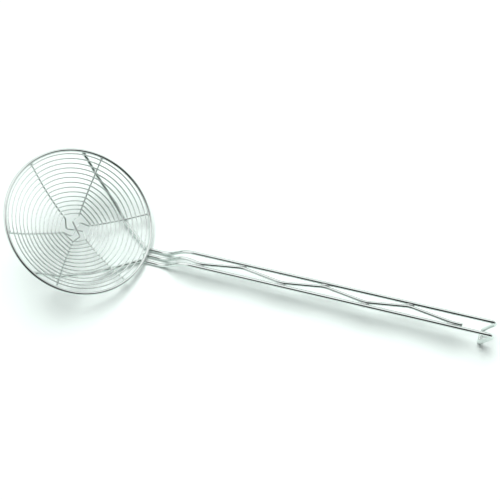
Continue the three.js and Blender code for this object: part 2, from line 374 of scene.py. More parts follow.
@dataclass(frozen=True)
class WireFinish(Finish):
    """Bright plated drawn wire: fine lines along the wire, duller at the joints and where it rubs.

    The shares say how much the drawn lines, the cloudy plating and the worn places count.
    """

    bright: Colour = (0.75, 0.81, 0.785)
    dull: Colour = (0.53, 0.58, 0.56)
    tone_shares: Shares = (0.25, 0.35, 0.8)
    tone_range: Span = (0.1, 1.15)
    roughness: float = 0.07
    rough_shares: Shares = (0.07, 0.05, 0.22)
    grain_length: float = 0.012
    grain_round: float = 9.0
    grain_depth: float = 0.000012
    grain_relief: float = 0.35
    cloud_scale: float = 55.0
    cloud_range: Span = (0.35, 0.75)
    joint_wear: float = 0.2
    rub_wear: float = 0.5
    rub_even: float = 0.4
    rub_height: float = 0.0009

    def pattern(self, graph: Graph) -> tuple[Value, Value, Mapping[str, Any]]:
        """Works out what changes along the wire.

        Args:
            graph: the graph that the nodes go in.

        Returns:
            How dull the wire is, its roughness, and the inputs of its Bump node.
        """
        lines = self.drawn_lines(graph)
        cloud = self.cloud(graph)
        worn = self.worn(graph, cloud)
        tone = self.weighed(self.tone_shares, lines, cloud, worn).smooth(*self.tone_range)
        roughness = self.roughness + self.weighed(self.rough_shares, lines, cloud, worn)
        relief = {"Height": lines, "Strength": self.grain_relief, "Distance": self.grain_depth}
        return tone, roughness, relief

    @staticmethod
    def weighed(shares: Shares, lines: Value, cloud: Value, worn: Value) -> Value:
        """Sum of the three, each times its share."""
        return shares[0] * lines + shares[1] * cloud + shares[2] * worn

    def drawn_lines(self, graph: Graph) -> Value:
        """Lines that the drawing die leaves along the wire.

        Args:
            graph: the graph that the nodes go in.

        Returns:
            The lines, from 0 to 1.
        """
        grain = graph.value("ShaderNodeAttribute", {"attribute_name": GRAIN}, {}, "Vector")
        scale = (1.0 / self.grain_length, self.grain_round, self.grain_round)
        stretch = {"Vector": grain, "Scale": scale}
        place = graph.value("ShaderNodeMapping", {"vector_type": "POINT"}, stretch, "Vector")
        noise = {"Vector": place, "Scale": 1.0, "Detail": 4.0, "Roughness": 0.6}
        return graph.value("ShaderNodeTexNoise", {}, noise, "Fac")

    def cloud(self, graph: Graph) -> Value:
        """Soft patches of duller plating.

        Args:
            graph: the graph that the nodes go in.

        Returns:
            The patches, from 0 to 1.
        """
        place = graph.value("ShaderNodeTexCoord", {}, {}, "Object")
        noise = {"Vector": place, "Scale": self.cloud_scale, "Detail": 3.0, "Roughness": 0.55}
        return graph.value("ShaderNodeTexNoise", {}, noise, "Fac").smooth(*self.cloud_range)

    def worn(self, graph: Graph, cloud: Value) -> Value:
        """Dull places: next to the welds, and underneath where the wire rubs on tables.

        Args:
            graph: the graph that the nodes go in.
            cloud: patches of duller plating, which break up the rubbed places.

        Returns:
            The wear, 0 where there is none.
        """
        joint = graph.value("ShaderNodeAttribute", {"attribute_name": JOINT}, {}, "Fac")
        place = graph.value("ShaderNodeTexCoord", {}, {}, "Object")
        height = graph.value("ShaderNodeSeparateXYZ", {}, {"Vector": place}, "Z")
        rubbed = height.smooth(self.rub_height, 0.0)
        patchy = self.rub_even + (1.0 - self.rub_even) * cloud
        return self.joint_wear * joint + self.rub_wear * rubbed * patchy


@dataclass(frozen=True)
class WeldFinish(Finish):
    """Plated weld beads: the metal of the wire, satin, with small ripples."""

    bright: Colour = (0.78, 0.84, 0.815)
    dull: Colour = (0.70, 0.755, 0.735)
    tone_range: Span = (0.35, 0.8)
    roughness: Span = (0.36, 0.50)
    ripple: float = 0.00035
    ripple_relief: float = 0.4
    ripple_depth: float = 0.0000525

    def pattern(self, graph: Graph) -> tuple[Value, Value, Mapping[str, Any]]:
        """Works out the ripples of a bead.

        Args:
            graph: the graph that the nodes go in.

        Returns:
            How dull the bead is, its roughness, and the inputs of its Bump node.
        """
        place = graph.value("ShaderNodeTexCoord", {}, {}, "Object")
        noise = {"Vector": place, "Scale": 1.0 / self.ripple, "Detail": 2.0, "Roughness": 0.5}
        ripples = graph.value("ShaderNodeTexNoise", {}, noise, "Fac")
        smoothest, roughest = self.roughness
        roughness = smoothest + (roughest - smoothest) * ripples
        relief = {"Height": ripples, "Strength": self.ripple_relief, "Distance": self.ripple_depth}
        return ripples.smooth(*self.tone_range), roughness, relief


@dataclass(frozen=True)
class Weld:
    """One weld bead: where two wires meet, and which way it lies."""

    place: Vector
    normal: Vector
    along: Vector
    half_size: Vector


@dataclass
class WireMaker:
    """Sweeps round wires along paths, with rounded cut ends and marks beside the welds."""

    sides: int = 14
    longest_run: float = 0.003
    joint_reach: float = 0.0022
    end_points: int = 4
    end_radius: float = 0.62

    def __post_init__(self) -> None:
        """Builds the sweeping tree once for all wires."""
        sizes = {
            "Wire Radius": "NodeSocketFloat",
            "Profile Points": "NodeSocketInt",
            "Material": "NodeSocketMaterial",
        }
        self.tree = GeometryTree("round_wire", sizes)
        tree = self.tree
        curve = tree.value("GeometryNodeMeshToCurve", {}, {"Mesh": tree.size("Geometry")})
        along = tree.value("GeometryNodeSplineParameter", {}, {}, "Length")
        taper = tree.value("GeometryNodeInputNamedAttribute", {}, {"Name": "taper"}, "Attribute")
        path = self.capture(tree, curve, along, "FLOAT")
        circle = {"Resolution": tree.size("Profile Points"), "Radius": tree.size("Wire Radius")}
        profile = tree.value("GeometryNodeCurvePrimitiveCircle", {}, circle)
        position = tree.value("GeometryNodeInputPosition")
        round_profile = self.capture(tree, profile, position, "VECTOR")
        sweep = {"Curve": path[0], "Profile Curve": round_profile[0], "Scale": taper, "Fill Caps": True}
        swept = tree.value("GeometryNodeCurveToMesh", {}, sweep)
        ring = tree.node("ShaderNodeSeparateXYZ", {}, {"Vector": round_profile[1]})
        radius = tree.size("Wire Radius")
        grain = {
            "X": path[1],
            "Y": Value(tree, ring.outputs["X"]) / radius,
            "Z": Value(tree, ring.outputs["Y"]) / radius,
        }
        lines = tree.value("ShaderNodeCombineXYZ", {}, grain)
        store = {"Geometry": swept, "Name": GRAIN, "Value": lines}
        tree.close(tree.value("GeometryNodeStoreNamedAttribute", {"data_type": "FLOAT_VECTOR"}, store))

    @staticmethod
    def capture(tree: GeometryTree, geometry: Value, source: Value, kind: str) -> tuple[Value, Value]:
        """Keeps a field on a geometry.

        Args:
            tree: the tree that the nodes go in.
            geometry: what the field is kept on.
            source: the field.
            kind: socket type of the field.

        Returns:
            The geometry, and the kept field.
        """
        node = tree.node("GeometryNodeCaptureAttribute", {}, {"Geometry": geometry})
        node.capture_items.new(kind, "kept")
        tree.tree.links.new(source.socket, tree.pick(node.inputs, "kept"))
        return Value(tree, node.outputs[0]), Value(tree, tree.pick(node.outputs, "kept"))

    def with_round_ends(self, path: Sequence[Vector], radius: float) -> tuple[list[Vector], list[float]]:
        """Adds points near both ends of a path, where the wire's edge is rounded off.

        Args:
            path: the wire's middle line.
            radius: the wire's radius.

        Returns:
            The longer path, and the share of the full radius at each of its points.
        """
        reach = self.end_radius * radius
        points = [p.copy() for p in path]
        taper = [1.0] * len(points)
        for _ in range(2):
            inward = (points[1] - points[0]).normalized()
            start = points[0]
            rounded = []
            for i in range(self.end_points):
                angle = 0.5 * math.pi * i / self.end_points
                shrink = reach / radius * (1.0 - math.sin(angle))
                rounded.append((start + inward * reach * (1.0 - math.cos(angle)), 1.0 - shrink))
            rounded.append((start + inward * reach, 1.0))
            points = [p for p, _ in rounded] + points[1:]
            taper = [t for _, t in rounded] + taper[1:]
            points.reverse()
            taper.reverse()
        return points, taper

    def with_short_runs(self, path: Sequence[Vector]) -> list[Vector]:
        """Adds points on the long straight runs of a path.

        Args:
            path: the wire's middle line.

        Returns:
            The path with no run over the longest one.
        """
        points = [path[0].copy()]
        for a, b in zip(path, path[1:]):
            parts = max(1, math.ceil((b - a).length / self.longest_run))
            points += [a.lerp(b, i / parts) for i in range(1, parts + 1)]
        return points

    def nearness(self, point: Vector, welds: Sequence[Weld]) -> float:
        """How close a point is to a weld, from 0 far off to 1 at its edge."""
        nearest = min(((point - w.place).length - max(w.half_size) for w in welds), default=1.0)
        return math.exp(-((max(nearest, 0.0) / self.joint_reach) ** 2))

    def make(
        self,
        name: str,
        path: Sequence[Vector],
        diameter: float,
        material: bpy.types.Material,
        welds: Sequence[Weld] = (),
        closed: bool = False,
    ) -> bpy.types.Object:
        """Makes one wire.

        Args:
            name: the piece's name.
            path: its middle line.
            diameter: the wire's diameter.
            material: its finish.
            welds: the beads that it may touch.
            closed: True for a ring.

        Returns:
            The wire as a plain mesh.
        """
        points, taper = list(path), [1.0] * len(path)
        if not closed:
            points, taper = self.with_round_ends(self.with_short_runs(path), diameter / 2)
        edges = [(i, i + 1) for i in range(len(points) - 1)]
        if closed:
            edges.append((len(points) - 1, 0))
        columns = {"taper": taper, JOINT: [self.nearness(p, welds) for p in points]}
        values = {"Wire Radius": diameter / 2, "Profile Points": self.sides, "Material": material}
        return self.tree.finish(name, points, edges, columns, values)


@dataclass
class WeldMaker:
    """Sets weld beads where the wires meet."""

    spread: float = 0.16
    seed: int = 11

    def __post_init__(self) -> None:
        """Builds the tree that sets one bead on each point."""
        sizes = {
            "Fineness": "NodeSocketInt",
            "Size Spread": "NodeSocketFloat",
            "Seed": "NodeSocketInt",
            "Material": "NodeSocketMaterial",
        }
        self.tree = GeometryTree("weld_beads", sizes)
        tree = self.tree
        spread = tree.size("Size Spread")
        points = tree.value("GeometryNodeMeshToPoints", {}, {"Mesh": tree.size("Geometry")})
        ball = {"Radius": 1.0, "Subdivisions": tree.size("Fineness")}
        bead = tree.value("GeometryNodeMeshIcoSphere", {}, ball)
        turn = tree.value(
            "FunctionNodeAxesToRotation",
            {"primary_axis": "Z", "secondary_axis": "X"},
            {0: self.attribute("bead_normal"), 1: self.attribute("bead_along")},
        )
        vary = tree.value(
            "FunctionNodeRandomValue",
            {"data_type": "FLOAT"},
            {"Min": 1.0 - spread, "Max": 1.0 + spread, "Seed": tree.size("Seed")},
            "Value",
        )
        scale = tree.value(
            "ShaderNodeVectorMath",
            {"operation": "SCALE"},
            {"Vector": self.attribute("bead_half_size"), "Scale": vary},
        )
        sockets = {"Points": points, "Instance": bead, "Rotation": turn, "Scale": scale}
        tree.close(tree.value("GeometryNodeInstanceOnPoints", {}, sockets))

    def attribute(self, name: str) -> Value:
        """Vector that a point carries under a name."""
        settings = {"data_type": "FLOAT_VECTOR"}
        return self.tree.value("GeometryNodeInputNamedAttribute", settings, {"Name": name}, "Attribute")

    def make(
        self, name: str, welds: Sequence[Weld], material: bpy.types.Material, size: BeadSize
    ) -> bpy.types.Object:
        """Makes a set of beads.

        Args:
            name: the piece's name.
            welds: the beads.
            material: their finish.
            size: how large they are, which sets how fine their faces are.

        Returns:
            The beads as one plain mesh.
        """
        columns = {
            "bead_normal": [w.normal for w in welds],
            "bead_along": [w.along for w in welds],
            "bead_half_size": [w.half_size for w in welds],
        }
        values = {
            "Fineness": size.value,
            "Size Spread": self.spread,
            "Seed": self.seed,
            "Material": material,
        }
        return self.tree.finish(name, [w.place for w in welds], [], columns, values)


def polar(middle: Plan, radius: float, degrees: float) -> Plan:
    """Plan point at a distance and an angle in degrees from a middle point."""
    angle = math.radians(degrees)
    return middle + radius * Vector((math.cos(angle), math.sin(angle)))


def bent_path(corners: Sequence[Vector], bends: Sequence[float], step: float = 5.0) -> list[Vector]:
    """Turns each inner corner of a path into an arc.

    Args:
        corners: the path's corners.
        bends: bend radius at each corner, 0 for none.
        step: largest turn between two points of an arc, in degrees.

    Returns:
        The points of the bent path.
    """
    path = [corners[0].copy()]
    for before, here, after, bend in zip(corners, corners[1:], corners[2:], bends[1:]):
        back = before - here
        ahead = after - here
        turn = math.pi - back.angle(ahead)
        if bend == 0.0 or turn < STRAIGHT_TURN:
            path.append(here.copy())
            continue
        room = BEND_ROOM * min(back.length, ahead.length)
        reach = min(bend * math.tan(turn / 2), room)
        radius = reach / math.tan(turn / 2)
        inward = (back.normalized() + ahead.normalized()).normalized()
        centre = here + inward * (radius / math.cos(turn / 2))
        first = here + back.normalized() * reach - centre
        last = here + ahead.normalized() * reach - centre
        steps = max(2, math.ceil(math.degrees(turn) / step))
        for s in range(steps + 1):
            a = math.sin((1 - s / steps) * turn) / math.sin(turn)
            b = math.sin(s / steps * turn) / math.sin(turn)
            path.append(centre + first * a + last * b)
    path.append(corners[-1].copy())
    return path


@dataclass
class Bowl:
    """Shape of the basket: a shallow bowl whose lowest point lies a little towards the handle."""

    rim_radius: float
    depth: float
    hub: Plan

    def share(self, p: Plan) -> float:
        """Share of the way from hub to rim.

        Args:
            p: a plan point.

        Returns:
            0 at the hub and 1 at the rim.
        """
        away = p - self.hub
        lean = away.dot(self.hub)
        span = self.rim_radius ** 2 - self.hub.length_squared
        return (lean + math.sqrt(lean * lean + span * away.length_squared)) / span

    def height(self, share: float) -> float:
        """Height of the spokes' middle lines at a share of the way out, from the rim."""
        return -self.depth * (1 - share * share)

    def slope(self, share: float) -> float:
        """Angle of the bowl's wall at a share of the way out."""
        return math.atan(2 * self.depth * share / self.rim_radius)

    def ring_middle(self, share: float) -> Plan:
        """Middle of the bowl's ring of a given share."""
        return self.hub * (1 - share)

    def ring_point(self, share: float, degrees: float) -> Plan:
        """Plan point on the bowl's ring of a given share."""
        return polar(self.ring_middle(share), self.rim_radius * share, degrees)

    def at(self, p: Plan) -> Vector:
        """Point of the spokes' middle surface over a plan point."""
        return Vector((p.x, p.y, self.height(self.share(p))))

    def normal(self, p: Plan) -> Vector:
        """Direction out of the bowl's inner side.

        Args:
            p: a plan point.

        Returns:
            The unit direction at that point of the bowl.
        """
        share = self.share(p)
        inward = (self.ring_middle(share) - p).normalized()
        slope = self.slope(share)
        return Vector((inward.x * math.sin(slope), inward.y * math.sin(slope), math.cos(slope)))


def settle(piece: bpy.types.Object, node: str = "") -> bpy.types.Object:
    """Ties a piece to the part's body.

    Args:
        piece: the finished piece.
        node: the CAD node that it stands for, if any.

    Returns:
        The same piece.
    """
    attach(piece, BODY)
    if node:
        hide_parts(node)
    return piece


@dataclass
class Basket:
    """Rim ring, three spoke wires and the spiral web wire, in the basket's own tipped frame."""

    finishes: Mapping[Slot, bpy.types.Material]
    wires: WireMaker
    welds: WeldMaker
    bead: bpy.types.Material
    rim_outer_diameter: float = 0.160
    rim_wire: float = 0.0036
    rim_tilt: float = 30.0
    depth: float = 0.025
    hub_shift: Span = (0.003, 0.0005)
    spoke_wire: float = 0.002
    spoke_ends: Mapping[Level, Span] = field(
        default_factory=lambda: {
            Level.LOW: (153.8, 330.8),
            Level.MIDDLE: (217.0, 33.5),
            Level.TOP: (92.8, 273.0),
        }
    )
    kink_radius: float = 0.015
    kink_turn: float = 6.0
    corner_radius: float = 0.0095
    corner_turn: float = 46.0
    kink_bend: float = 0.003
    corner_bend: float = 0.0025
    web_wire: float = 0.0014
    web_turns: int = 14
    web_start_radius: float = 0.0151
    web_start_spoke: float = 217.0
    web_straight_at_hub: float = 0.75
    web_round_from: float = 0.055
    seat_gap: float = 0.0003
    web_bead: Shares = (0.78, 0.46, 0.46)
    rim_bead: Shares = (0.95, 0.72, 0.5)
    hub_bead: Shares = (0.8, 0.8, 0.42)
    rim_steps: int = 192
    arm_steps: int = 20
    web_steps: int = 12
    search_range: Span = (-0.5, 1.5)
    search_steps: int = 40

    def __post_init__(self) -> None:
        """Works out the sizes that follow, and the place of the rim from the frame."""
        rim_radius = (self.rim_outer_diameter - self.rim_wire) / 2
        self.bowl = Bowl(rim_radius, self.depth, Vector(self.hub_shift))
        self.web_lift = self.spoke_wire / 2 + self.web_wire / 2 + self.seat_gap
        self.spoke_layer = self.spoke_wire + self.seat_gap
        low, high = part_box("rim_ring")
        self.centre = (Vector(low) + Vector(high)) / 2
        tilt = Matrix.Rotation(math.radians(self.rim_tilt), 4, "Y")
        self.place = Matrix.Translation(self.centre) @ tilt

    def in_frame(self, points: Sequence[Vector]) -> list[Vector]:
        """Points of the basket's own frame in the frame of the part."""
        return [self.place @ p for p in points]

    def in_frame_weld(self, weld: Weld) -> Weld:
        """A weld of the basket's own frame in the frame of the part."""
        turn = self.place.to_3x3()
        return Weld(self.place @ weld.place, turn @ weld.normal, turn @ weld.along, weld.half_size)

    def arm(self, degrees: float) -> tuple[Plan, Plan, Plan]:
        """Corners of a spoke's arm in plan.

        Args:
            degrees: where the arm meets the rim.

        Returns:
            Its rim end, its kink and its corner at the hub.
        """
        slope = self.bowl.slope(1.0)
        reach = self.bowl.rim_radius - self.rim_wire / 2 * math.cos(slope)
        outer = polar(MIDDLE, reach, degrees)
        kink = polar(self.bowl.hub, self.kink_radius, degrees + self.kink_turn)
        corner = polar(self.bowl.hub, self.corner_radius, degrees + self.corner_turn)
        return outer, kink, corner

    def arm_point(self, degrees: float, share: float) -> Plan:
        """Place where a spoke's arm crosses a ring of the bowl, found by halving.

        Args:
            degrees: where the arm meets the rim.
            share: share of the way from hub to rim.

        Returns:
            The plan point.
        """
        outer, kink, _ = self.arm(degrees)
        low, high = self.search_range
        for _ in range(self.search_steps):
            middle = (low + high) / 2
            if self.bowl.share(kink.lerp(outer, middle)) < share:
                low = middle
            else:
                high = middle
        return kink.lerp(outer, (low + high) / 2)

    def spoke_path(self, level: Level) -> list[Vector]:
        """Middle line of one spoke wire, from rim to rim with its Z at the hub.

        Args:
            level: its place in the stack at the hub.

        Returns:
            The points of the line.
        """
        halves = []
        for degrees in self.spoke_ends[level]:
            outer, kink, corner = self.arm(degrees)
            run = [outer.lerp(kink, i / self.arm_steps) for i in range(self.arm_steps)]
            half = [(self.bowl.at(p), 0.0) for p in run]
            half.append((self.bowl.at(kink), self.kink_bend))
            height = self.bowl.height(0.0) + level.value * self.spoke_layer
            at_hub = Vector((corner.x, corner.y, height))
            half.append((at_hub, self.corner_bend))
            halves.append(half)
        both = halves[0] + halves[1][::-1]
        return bent_path([p for p, _ in both], [b for _, b in both])

    def spokes_in_turn(self) -> list[float]:
        """Angles of all spoke ends.

        Returns:
            The angles in the order that the web meets them.
        """
        angles = [degrees for ends in self.spoke_ends.values() for degrees in ends]
        turned = sorted((degrees - self.web_start_spoke) % 360 for degrees in angles)
        return [degrees + self.web_start_spoke for degrees in turned]

    def web_crossing(self, number: int) -> tuple[float, Plan, float]:
        """Place where the web crosses a spoke.

        Args:
            number: how many spokes it has crossed before.

        Returns:
            Share of the way from hub to rim, plan point and angle in degrees.
        """
        order = self.spokes_in_turn()
        slope = self.bowl.slope(1.0)
        clear = self.rim_wire / 2 + self.web_wire / 2 + self.seat_gap
        end = self.bowl.rim_radius - clear + self.web_lift * math.sin(slope)
        first = self.web_start_radius / self.bowl.rim_radius
        step = (end / self.bowl.rim_radius - first) / (self.web_turns * len(order))
        share = first + step * number
        p = self.arm_point(order[number % len(order)], share)
        away = p - self.bowl.ring_middle(share)
        return share, p, math.degrees(math.atan2(away.y, away.x))

    def lifted(self, p: Plan, share: float) -> Vector:
        """Point of the web's middle line, laid on the spokes.

        Args:
            p: a plan point.
            share: its share of the way from hub to rim.

        Returns:
            The point over it.
        """
        slope = self.bowl.slope(share)
        inward = (self.bowl.ring_middle(share) - p).normalized()
        q = p + inward * (self.web_lift * math.sin(slope))
        return Vector((q.x, q.y, self.bowl.height(share) + self.web_lift * math.cos(slope)))

    def web_path(self) -> list[Vector]:
        """Middle line of the spiral web wire, nearly straight between spokes at the hub.

        Returns:
            The points of the line.
        """
        crossings = self.web_turns * len(self.spokes_in_turn())
        run = self.web_round_from - self.web_start_radius
        path = []
        for number in range(crossings):
            share_a, p_a, angle_a = self.web_crossing(number)
            share_b, p_b, angle_b = self.web_crossing(number + 1)
            sweep = (angle_b - angle_a) % 360
            for s in range(self.web_steps):
                t = s / self.web_steps
                share = share_a + (share_b - share_a) * t
                outward = (share * self.bowl.rim_radius - self.web_start_radius) / run
                straight = self.web_straight_at_hub * max(0.0, 1 - outward)
                arc = self.bowl.ring_point(share, angle_a + sweep * t)
                path.append(self.lifted(arc.lerp(p_a.lerp(p_b, t), straight), share))
        share, p, _ = self.web_crossing(crossings)
        path.append(self.lifted(p, share))
        return path

    def web_welds(self) -> list[Weld]:
        """Beads where the web lies on the spokes.

        Returns:
            The beads, from the hub outwards.
        """
        beads = []
        along, across, up = self.web_bead
        half = Vector((self.web_wire * along, self.spoke_wire * across, self.web_wire * up))
        for number in range(self.web_turns * len(self.spokes_in_turn()) + 1):
            _, p, angle = self.web_crossing(number)
            normal = self.bowl.normal(p)
            place = self.bowl.at(p) + normal * (self.spoke_wire / 2 + self.seat_gap / 2)
            tangent = Vector((-math.sin(math.radians(angle)), math.cos(math.radians(angle)), 0.0))
            beads.append(self.in_frame_weld(Weld(place, normal, tangent, half)))
        return beads

    def rim_welds(self) -> list[Weld]:
        """Beads where the spokes meet the rim, and where they cross at the hub.

        Returns:
            The beads.
        """
        beads = []
        half = self.spoke_wire * Vector(self.rim_bead)
        for degrees in self.spokes_in_turn():
            outer, _, _ = self.arm(degrees)
            inward = Vector((-outer.x, -outer.y, 0.0)).normalized()
            tangent = Vector((-inward.y, inward.x, 0.0))
            beads.append(self.in_frame_weld(Weld(self.bowl.at(outer), inward, tangent, half)))
        hub_half = self.spoke_wire * Vector(self.hub_bead)
        for between in (-0.5, 0.5):
            place = Vector((*self.bowl.hub, self.bowl.height(0.0) + between * self.spoke_layer))
            beads.append(self.in_frame_weld(Weld(place, UP, ALONG_HANDLE, hub_half)))
        return beads

    def build(self, more_welds: Sequence[Weld]) -> list[bpy.types.Object]:
        """Builds the basket's pieces.

        Args:
            more_welds: beads of the handle that also mark the basket's wires.

        Returns:
            The finished pieces.
        """
        web_beads = self.web_welds()
        rim_beads = self.rim_welds()
        heavy = self.finishes[Slot.HEAVY_WIRE]
        fine = self.finishes[Slot.FINE_WIRE]
        turn = 360 / self.rim_steps
        circle = [polar(MIDDLE, self.bowl.rim_radius, i * turn) for i in range(self.rim_steps)]
        ring = self.in_frame([Vector((p.x, p.y, 0.0)) for p in circle])
        near_rim = [*rim_beads, *more_welds]
        rim = self.wires.make("rim_round", ring, self.rim_wire, heavy, near_rim, closed=True)
        pieces = [settle(rim, "rim_ring")]
        for level in Level:
            place = level.name.lower()
            path = self.in_frame(self.spoke_path(level))
            near = [*web_beads, *rim_beads, *more_welds]
            spoke = self.wires.make(f"spoke_round_{place}", path, self.spoke_wire, fine, near)
            pieces.append(settle(spoke, f"spoke_wire_{place}"))
        path = self.in_frame(self.web_path())
        web = self.wires.make("web_round", path, self.web_wire, fine, web_beads)
        pieces.append(settle(web, "spiral_web_wire"))
        small = self.welds.make("web_weld_beads", web_beads, self.bead, BeadSize.SMALL)
        large = self.welds.make("rim_weld_beads", rim_beads, self.bead, BeadSize.LARGE)
        pieces += [settle(small), settle(large)]
        return pieces


@dataclass
class Handle:
    """Hairpin rod with its struts and hook, and the zig-zag brace wire between its rods."""

    finishes: Mapping[Slot, bpy.types.Material]
    wires: WireMaker
    welds: WeldMaker
    bead: bpy.types.Material
    basket: Basket
    rod_wire: float = 0.004
    rod_spacing: float = 0.0146
    strut_end_angle: float = 108.5
    strut_seat_length: float = 0.005
    strut_knee_angle: float = 75.6
    strut_knee_inset: float = 0.0205
    strut_bend: float = 0.012
    strut_gap: float = 0.0005
    rim_bend_inset: float = 0.0037
    rim_bend: float = 0.010
    low_run: float = 0.0218
    crank_run: float = 0.0215
    handle_step: float = 0.0166
    crank_bend: float = 0.026
    handle_run: float = 0.3256
    hook_bend: float = 0.004
    hook_drop: float = 0.024
    hook_return: float = 0.0144
    hook_corner_bend: float = 0.0045
    brace_wire: float = 0.0035
    brace_start_inset: float = 0.0047
    brace_first_touch: float = 0.019
    brace_half_wave: float = 0.04375
    brace_touches: int = 7
    brace_tail: float = 0.011
    brace_bend: float = 0.025
    brace_lead: int = 3
    brace_bead: Shares = (1.15, 0.43, 0.36)
    brace_rim_bead: Shares = (0.5, 0.5, 0.24)
    seat_bead: Shares = (0.75, 0.42, 0.22)
    seat_bead_place: float = 0.35
    cross_bead: Shares = (0.8, 0.8, 0.5)

    def __post_init__(self) -> None:
        """Works out the places along the handle, counted on from the rim."""
        tilt = math.radians(self.basket.rim_tilt)
        self.rod_low = self.rod_wire / 2
        self.rod_side = self.rod_spacing / 2
        self.rim_x = self.basket.centre.x + math.cos(tilt) * self.basket.bowl.rim_radius
        self.rim_bend_x = self.rim_x - self.rim_bend_inset
        self.brace_start_x = self.rim_x - self.brace_start_inset
        self.crank_foot_x = self.rim_x + self.low_run
        self.crank_top_x = self.crank_foot_x + self.crank_run
        self.handle_end_x = self.crank_top_x + self.handle_run
        self.handle_low = self.rod_low + self.handle_step
        self.handle_high = self.rod_low + self.hook_drop

    def rod_height(self, x: float) -> float:
        """Height of the rods at a distance along the handle."""
        rise = self.handle_high - self.handle_low
        return self.handle_low + rise * (x - self.crank_top_x) / self.handle_run

    def strut_plan(self, side: Side) -> tuple[Plan, Plan, Plan]:
        """Corners of a strut in the basket's plan.

        Args:
            side: the side that the strut is on.

        Returns:
            Its far end, its knee and its bend at the rim.
        """
        sign = side.value
        radius = self.basket.bowl.rim_radius
        end = polar(MIDDLE, radius, sign * self.strut_end_angle)
        knee = polar(MIDDLE, radius - self.strut_knee_inset, sign * self.strut_knee_angle)
        bend = Vector((self.rim_bend_x, sign * self.rod_side, self.rod_low))
        return end, knee, (self.basket.place.inverted() @ bend).to_2d()

    def cross_arm(self, a: Plan, b: Plan, degrees: float) -> Plan:
        """Place where the line between two points crosses a spoke's arm.

        Args:
            a: first plan point.
            b: second plan point.
            degrees: where the arm meets the rim.

        Returns:
            The plan point of the crossing.
        """
        outer, kink, _ = self.basket.arm(degrees)
        arm = outer - kink
        way = b - a
        return a + way * ((kink - a).cross(arm) / way.cross(arm))

    def spoke_crossings(self, side: Side) -> tuple[list[Plan], list[Plan]]:
        """Places where a strut passes under spokes.

        Args:
            side: the side that the strut is on.

        Returns:
            Plan points beyond its knee, and those between its knee and the handle.
        """
        end, knee, bend = self.strut_plan(side)
        angles = [(side.value * degrees) % 360 for degrees in self.basket.spokes_in_turn()]
        under = sorted((a for a in angles if a < self.strut_end_angle), reverse=True)
        beyond = [a for a in under if a > self.strut_knee_angle]
        before = [a for a in under if a <= self.strut_knee_angle]
        return (
            [self.cross_arm(end, knee, side.value * a) for a in beyond],
            [self.cross_arm(knee, bend, side.value * a) for a in before],
        )

    def under(self, p: Plan, above: float) -> Vector:
        """Point of a strut's middle line under the basket's wires.

        Args:
            p: a plan point.
            above: how far the wires reach below the spokes' middle surface.

        Returns:
            The point under it.
        """
        bowl = self.basket.bowl
        share = bowl.share(p)
        down = (above + self.rod_wire / 2 + self.strut_gap) / math.cos(bowl.slope(share))
        return Vector((p.x, p.y, bowl.height(share) - down))

    def strut_corners(self, side: Side) -> list[Vector]:
        """Corners of a rod's run under the basket.

        Args:
            side: the side that the rod is on.

        Returns:
            The corners from the far rim to the rim at the handle.
        """
        basket = self.basket
        end, knee, bend = self.strut_plan(side)
        beyond, before = self.spoke_crossings(side)
        below_rim = -(basket.rim_wire / 2 + self.rod_wire / 2 + basket.seat_gap)
        seat = end.lerp(knee, self.strut_seat_length / (knee - end).length)
        after_knee = knee.lerp(before[0] if before else bend, 0.5)
        below_web = max(basket.web_wire / 2 - basket.web_lift, 0.0)
        corners = [
            Vector((end.x, end.y, below_rim)),
            Vector((seat.x, seat.y, below_rim)),
            *[self.under(p, basket.spoke_wire / 2) for p in beyond],
            self.under(after_knee, below_web),
            *[self.under(p, basket.spoke_wire / 2) for p in before],
        ]
        at_rim = Vector((self.rim_bend_x, side.value * self.rod_side, self.rod_low))
        return [*basket.in_frame(corners), at_rim]

    def hairpin_path(self) -> list[Vector]:
        """Middle line of the whole hairpin.

        Returns:
            The points from one far rim seat round the hook to the other.
        """
        corners: list[Vector] = []
        bends: list[float] = []
        for side in Side:
            y = side.value * self.rod_side
            strut = self.strut_corners(side)
            rod = [
                *strut,
                Vector((self.crank_foot_x, y, self.rod_low)),
                Vector((self.crank_top_x, y, self.handle_low)),
                Vector((self.handle_end_x, y, self.handle_high)),
                Vector((self.handle_end_x - self.hook_return, y, self.rod_low)),
            ]
            bend = [self.strut_bend] * (len(strut) - 1)
            bend += [self.rim_bend, self.crank_bend, self.crank_bend, self.hook_bend, self.hook_corner_bend]
            corners += rod if side is Side.LEFT else rod[::-1]
            bends += bend if side is Side.LEFT else bend[::-1]
        return bent_path(corners, bends)

    def brace_corners(self) -> list[Vector]:
        """Corners of the zig-zag brace wire.

        Returns:
            The corners from under the rim to its tail beside one rod.
        """
        basket = self.basket
        swing = self.rod_side - (self.rod_wire / 2 + self.brace_wire / 2 + basket.seat_gap)
        drop = math.sin(math.radians(basket.rim_tilt)) * basket.bowl.rim_radius
        low = basket.centre.z - drop - basket.rim_wire / 2 - basket.seat_gap - self.brace_wire / 2
        corners = [
            Vector((self.brace_start_x, 0.0, low)),
            Vector((self.crank_foot_x, 0.0, low)),
            Vector((self.crank_top_x, 0.0, self.handle_low)),
        ]
        first = self.crank_top_x + self.brace_first_touch
        for i in range(self.brace_touches):
            x = first + i * self.brace_half_wave
            corners.append(Vector((x, swing if i % 2 else -swing, self.rod_height(x))))
        tail = corners[-1].x + self.brace_tail
        corners.append(Vector((tail, corners[-1].y, self.rod_height(tail))))
        return corners

    def brace_path(self) -> list[Vector]:
        """Middle line of the zig-zag brace wire.

        Returns:
            The points of the line.
        """
        corners = self.brace_corners()
        bends = [self.crank_bend] * self.brace_lead
        bends += [self.brace_bend] * (len(corners) - self.brace_lead)
        return bent_path(corners, bends)

